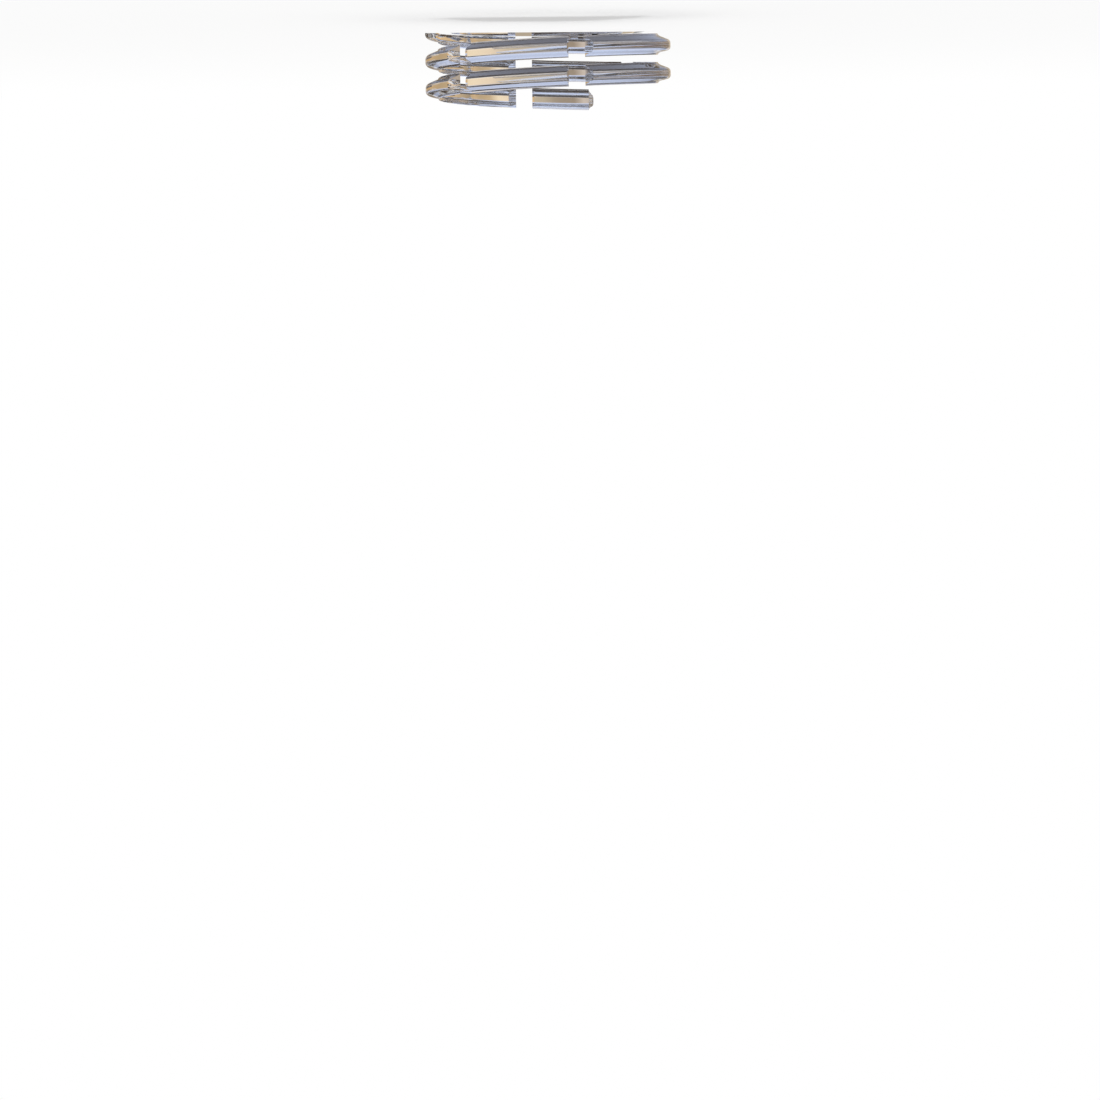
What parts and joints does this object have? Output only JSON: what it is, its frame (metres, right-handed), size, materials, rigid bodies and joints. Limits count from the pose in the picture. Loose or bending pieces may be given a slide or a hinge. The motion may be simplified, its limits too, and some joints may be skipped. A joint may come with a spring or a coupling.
{
  "type": "pet bottle preform",
  "caption": "Clear moulded bottle preform: thick-walled tube with a round closed end and gate stub, and a screw neck with vented thread, tamper bead and support ring.",
  "frame": {"origin": "centre of the lip plane, on the flat that the preform stands on mouth down", "axes": "+Z runs along the axis from the lip to the closed end and its gate stub; +X passes through the start of the thread"},
  "size_m": [0.033, 0.033, 0.1204],
  "materials": {
    "pet": "clear, polished"
  },
  "bodies": {
    "root": {"preform": "pet"}
  },
  "joints": []
}
